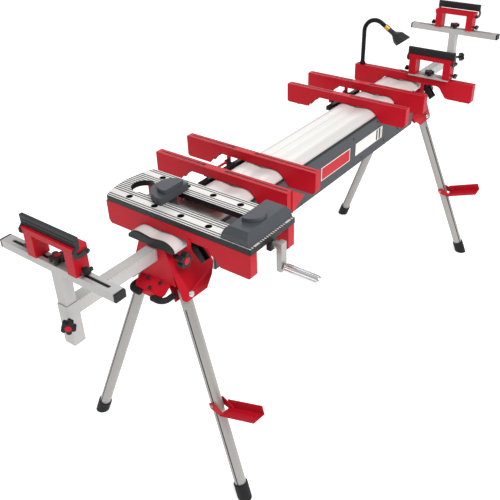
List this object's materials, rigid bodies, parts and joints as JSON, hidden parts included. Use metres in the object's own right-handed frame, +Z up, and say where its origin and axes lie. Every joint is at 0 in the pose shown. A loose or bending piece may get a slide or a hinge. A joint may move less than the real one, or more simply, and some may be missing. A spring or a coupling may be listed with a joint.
{
  "type": "folding mitre saw stand",
  "caption": "Folding stand for a mitre saw: an arched beam on splayed legs with tool bars, a clamping work table, a lamp and extending end supports.",
  "frame": {"origin": "middle of the outline on the floor, below the beam", "axes": "+X along the beam from the work table end to the lamp end, +Y towards the side away from the crank, +Z up"},
  "size_m": [2.291, 0.755, 0.9837],
  "materials": {
    "red_paint": "satin powder coat",
    "beam_silver": "satin anodised",
    "leg_silver": "satin silver paint",
    "tube_steel": "satin",
    "panel_grey": "matte, fine grain",
    "cap_grey": "matte",
    "bolt_steel": "bright",
    "black_rubber": "matte",
    "knob_black": "semi-matte",
    "guide_plastic": "matte",
    "stop_grey": "satin powder coat",
    "clamp_black": "satin",
    "table_silver": "satin with black grooves",
    "jaw_grey": "matte cast finish",
    "screw_steel": "satin",
    "grip_steel": "bright, ribbed",
    "neck_black": "ribbed, semi-matte",
    "collar_brass": "polished",
    "lamp_grey": "satin"
  },
  "bodies": {
    "beam": {"beam_extrusion": "beam_silver", "side_panels": "panel_grey", "end_caps": "cap_grey", "leg_housing_near": "red_paint", "leg_housing_far": "red_paint", "housing_fasteners": "bolt_steel", "corner_bumpers": "black_rubber", "tube_guides": "guide_plastic"},
    "leg_near_left": {"leg_near_left": "leg_silver", "foot_near_left": "black_rubber"},
    "leg_near_right": {"leg_near_right": "leg_silver", "foot_near_right": "black_rubber"},
    "leg_far_left": {"leg_far_left": "leg_silver", "foot_far_left": "black_rubber"},
    "leg_far_right": {"leg_far_right": "leg_silver", "foot_far_right": "black_rubber"},
    "footrest_near": {"footrest_near": "red_paint"},
    "footrest_far": {"footrest_far": "red_paint"},
    "extension_near": {"extension_near": "tube_steel"},
    "extension_far": {"extension_far": "tube_steel"},
    "tee_near": {"tee_post_near": "tube_steel", "tee_caps_near": "knob_black"},
    "tee_far": {"tee_post_far": "tube_steel", "tee_caps_far": "knob_black"},
    "tube_knob_near": {"tube_knob_near": "knob_black"},
    "tube_knob_far": {"tube_knob_far": "knob_black"},
    "post_knob_near": {"post_knob_near": "knob_black"},
    "post_knob_far": {"post_knob_far": "knob_black"},
    "tee_knob_near": {"tee_knob_near": "knob_black"},
    "tee_knob_far": {"tee_knob_far": "knob_black"},
    "support_near": {"support_frame_near": "red_paint", "frame_knobs_near": "knob_black"},
    "support_far": {"support_frame_far": "red_paint", "frame_knobs_far": "knob_black"},
    "support_mid": {"support_plate": "tube_steel", "support_frame_mid": "red_paint", "frame_knobs_mid": "knob_black"},
    "flip_stop_near": {"flip_stop_near": "stop_grey"},
    "flip_stop_far": {"flip_stop_far": "stop_grey"},
    "flip_stop_mid": {"flip_stop_mid": "stop_grey"},
    "plate_knob": {"plate_knob": "knob_black"},
    "bracket_near": {"bar_pair_near": "red_paint", "bracket_pads_near": "black_rubber"},
    "bracket_far": {"bar_pair_far": "red_paint", "bracket_pads_far": "black_rubber"},
    "bracket_single": {"bar_single": "red_paint"},
    "clamp_bar_near": {"clamp_bar_near": "clamp_black"},
    "clamp_bar_far": {"clamp_bar_far": "clamp_black"},
    "clamp_lever_table": {"clamp_lever_table": "clamp_black"},
    "clamp_lever_single": {"clamp_lever_single": "clamp_black"},
    "table": {"table_rails": "red_paint", "table_top": "table_silver", "jaw_fixed": "jaw_grey", "screw_bearing": "clamp_black"},
    "jaw_moving": {"jaw_moving": "jaw_grey"},
    "vise_screw": {"vise_screw": "screw_steel"},
    "crank_grip": {"crank_grip": "grip_steel"},
    "lamp": {"lamp_neck": "neck_black", "lamp_collar": "collar_brass", "lamp_head": "lamp_grey"}
  },
  "joints": [
    {"name": "leg_near_left_fold", "type": "hinge", "parent": "beam", "child": "leg_near_left", "pos_m": [-0.7835, 0.12952, 0.6], "axis": [0, 0.9361, 0.3518], "range_deg": [-85, 0]},
    {"name": "leg_near_right_fold", "type": "hinge", "parent": "beam", "child": "leg_near_right", "pos_m": [-0.7835, -0.01848, 0.6], "axis": [0, 0.9361, -0.3518], "range_deg": [-85, 0]},
    {"name": "footrest_near_fold", "type": "hinge", "parent": "leg_near_right", "child": "footrest_near", "pos_m": [-0.81715, -0.13504, 0.28989], "axis": [0.9949, -0.0356, -0.0946], "range_deg": [-90, 0]},
    {"name": "leg_far_left_fold", "type": "hinge", "parent": "beam", "child": "leg_far_left", "pos_m": [0.6645, 0.12952, 0.6], "axis": [0, 0.9361, 0.3518], "range_deg": [0, 85]},
    {"name": "leg_far_right_fold", "type": "hinge", "parent": "beam", "child": "leg_far_right", "pos_m": [0.6645, -0.01848, 0.6], "axis": [0, 0.9361, -0.3518], "range_deg": [0, 85]},
    {"name": "footrest_far_fold", "type": "hinge", "parent": "leg_far_right", "child": "footrest_far", "pos_m": [0.69815, -0.13504, 0.28989], "axis": [0.9949, 0.0356, 0.0946], "range_deg": [-90, 0]},
    {"name": "extension_near_slide", "type": "slide", "parent": "beam", "child": "extension_near", "axis": [-1, 0, 0], "range_m": [-0.2, 0.23]},
    {"name": "extension_far_slide", "type": "slide", "parent": "beam", "child": "extension_far", "axis": [1, 0, 0], "range_m": [-0.32, 0.11]},
    {"name": "tee_near_height", "type": "slide", "parent": "extension_near", "child": "tee_near", "axis": [0, 0, 1], "range_m": [-0.085, 0.05]},
    {"name": "tube_knob_near_turn", "type": "hinge", "parent": "beam", "child": "tube_knob_near", "pos_m": [-0.7895, -0.01448, 0.7175], "axis": [0, -1, 0], "continuous": true},
    {"name": "post_knob_near_turn", "type": "hinge", "parent": "extension_near", "child": "post_knob_near", "pos_m": [-1.1098, 0.03822, 0.7], "axis": [-0.7071, -0.7071, 0], "continuous": true},
    {"name": "tee_knob_near_turn", "type": "hinge", "parent": "tee_near", "child": "tee_knob_near", "pos_m": [-1.0925, 0.05552, 0.85], "axis": [0, 0, 1], "continuous": true},
    {"name": "support_near_slide", "type": "slide", "parent": "tee_near", "child": "support_near", "axis": [0, 1, 0], "range_m": [-0.03, 0.03]},
    {"name": "flip_stop_near_flip", "type": "hinge", "parent": "support_near", "child": "flip_stop_near", "pos_m": [-1.0775, 0.05552, 0.9013], "axis": [0, 1, 0], "range_deg": [0, 180]},
    {"name": "tee_far_height", "type": "slide", "parent": "extension_far", "child": "tee_far", "axis": [0, 0, 1], "range_m": [-0.085, 0.05]},
    {"name": "tube_knob_far_turn", "type": "hinge", "parent": "beam", "child": "tube_knob_far", "pos_m": [0.6705, -0.01448, 0.7175], "axis": [0, -1, 0], "continuous": true},
    {"name": "post_knob_far_turn", "type": "hinge", "parent": "extension_far", "child": "post_knob_far", "pos_m": [1.1098, 0.03822, 0.716], "axis": [0.7071, -0.7071, 0], "continuous": true},
    {"name": "tee_knob_far_turn", "type": "hinge", "parent": "tee_far", "child": "tee_knob_far", "pos_m": [1.0925, 0.05552, 0.85], "axis": [0, 0, 1], "continuous": true},
    {"name": "support_far_slide", "type": "slide", "parent": "tee_far", "child": "support_far", "axis": [0, 1, 0], "range_m": [-0.03, 0.03]},
    {"name": "flip_stop_far_flip", "type": "hinge", "parent": "support_far", "child": "flip_stop_far", "pos_m": [1.0975, 0.05552, 0.9013], "axis": [0, 1, 0], "range_deg": [-90, 0]},
    {"name": "support_mid_slide", "type": "slide", "parent": "bracket_single", "child": "support_mid", "axis": [0, 1, 0], "range_m": [-0.06, 0]},
    {"name": "flip_stop_mid_flip", "type": "hinge", "parent": "support_mid", "child": "flip_stop_mid", "pos_m": [0.6085, -0.06548, 0.8575], "axis": [0, 1, 0], "range_deg": [0, 180]},
    {"name": "plate_knob_turn", "type": "hinge", "parent": "support_mid", "child": "plate_knob", "pos_m": [0.5935, -0.06048, 0.807], "axis": [0, 0, 1], "continuous": true},
    {"name": "table_slide", "type": "slide", "parent": "beam", "child": "table", "axis": [1, 0, 0], "range_m": [0, 0.06]},
    {"name": "bracket_near_slide", "type": "slide", "parent": "beam", "child": "bracket_near", "axis": [1, 0, 0], "range_m": [-0.02, 0.4]},
    {"name": "bracket_far_slide", "type": "slide", "parent": "beam", "child": "bracket_far", "axis": [1, 0, 0], "range_m": [-0.06, 0.13]},
    {"name": "bracket_single_slide", "type": "slide", "parent": "beam", "child": "bracket_single", "axis": [1, 0, 0], "range_m": [0, 0.03]},
    {"name": "clamp_bar_near_swing", "type": "hinge", "parent": "bracket_near", "child": "clamp_bar_near", "pos_m": [-0.3905, 0.17752, 0.756], "axis": [1, 0, 0], "range_deg": [0, 60]},
    {"name": "clamp_bar_far_swing", "type": "hinge", "parent": "bracket_far", "child": "clamp_bar_far", "pos_m": [0.3285, 0.17752, 0.756], "axis": [1, 0, 0], "range_deg": [0, 60]},
    {"name": "clamp_lever_table_lift", "type": "hinge", "parent": "table", "child": "clamp_lever_table", "pos_m": [-0.7635, -0.04448, 0.752], "axis": [1, 0, 0], "range_deg": [-30, 0]},
    {"name": "clamp_lever_single_lift", "type": "hinge", "parent": "bracket_single", "child": "clamp_lever_single", "pos_m": [0.5935, -0.04448, 0.752], "axis": [1, 0, 0], "range_deg": [-30, 0]},
    {"name": "crank_turn", "type": "hinge", "parent": "table", "child": "vise_screw", "pos_m": [-0.6835, -0.24448, 0.786], "axis": [0, 1, 0], "range_deg": [-3590, 13520]},
    {"name": "jaw_slide", "type": "slide", "parent": "table", "child": "jaw_moving", "axis": [0, -1, 0], "range_m": [-0.06, 0.2255]},
    {"name": "crank_grip_spin", "type": "hinge", "parent": "vise_screw", "child": "crank_grip", "pos_m": [-0.6835, -0.32448, 0.728], "axis": [0, 1, 0], "continuous": true},
    {"name": "lamp_swivel", "type": "hinge", "parent": "bracket_single", "child": "lamp", "pos_m": [0.5935, 0.22502, 0.82], "axis": [0, 0, 1], "range_deg": [-90, 90]}
  ],
  "couplings": [
    {"joint": "jaw_slide", "follows": "crank_turn", "m_per_rad": 0.00095493}
  ]
}
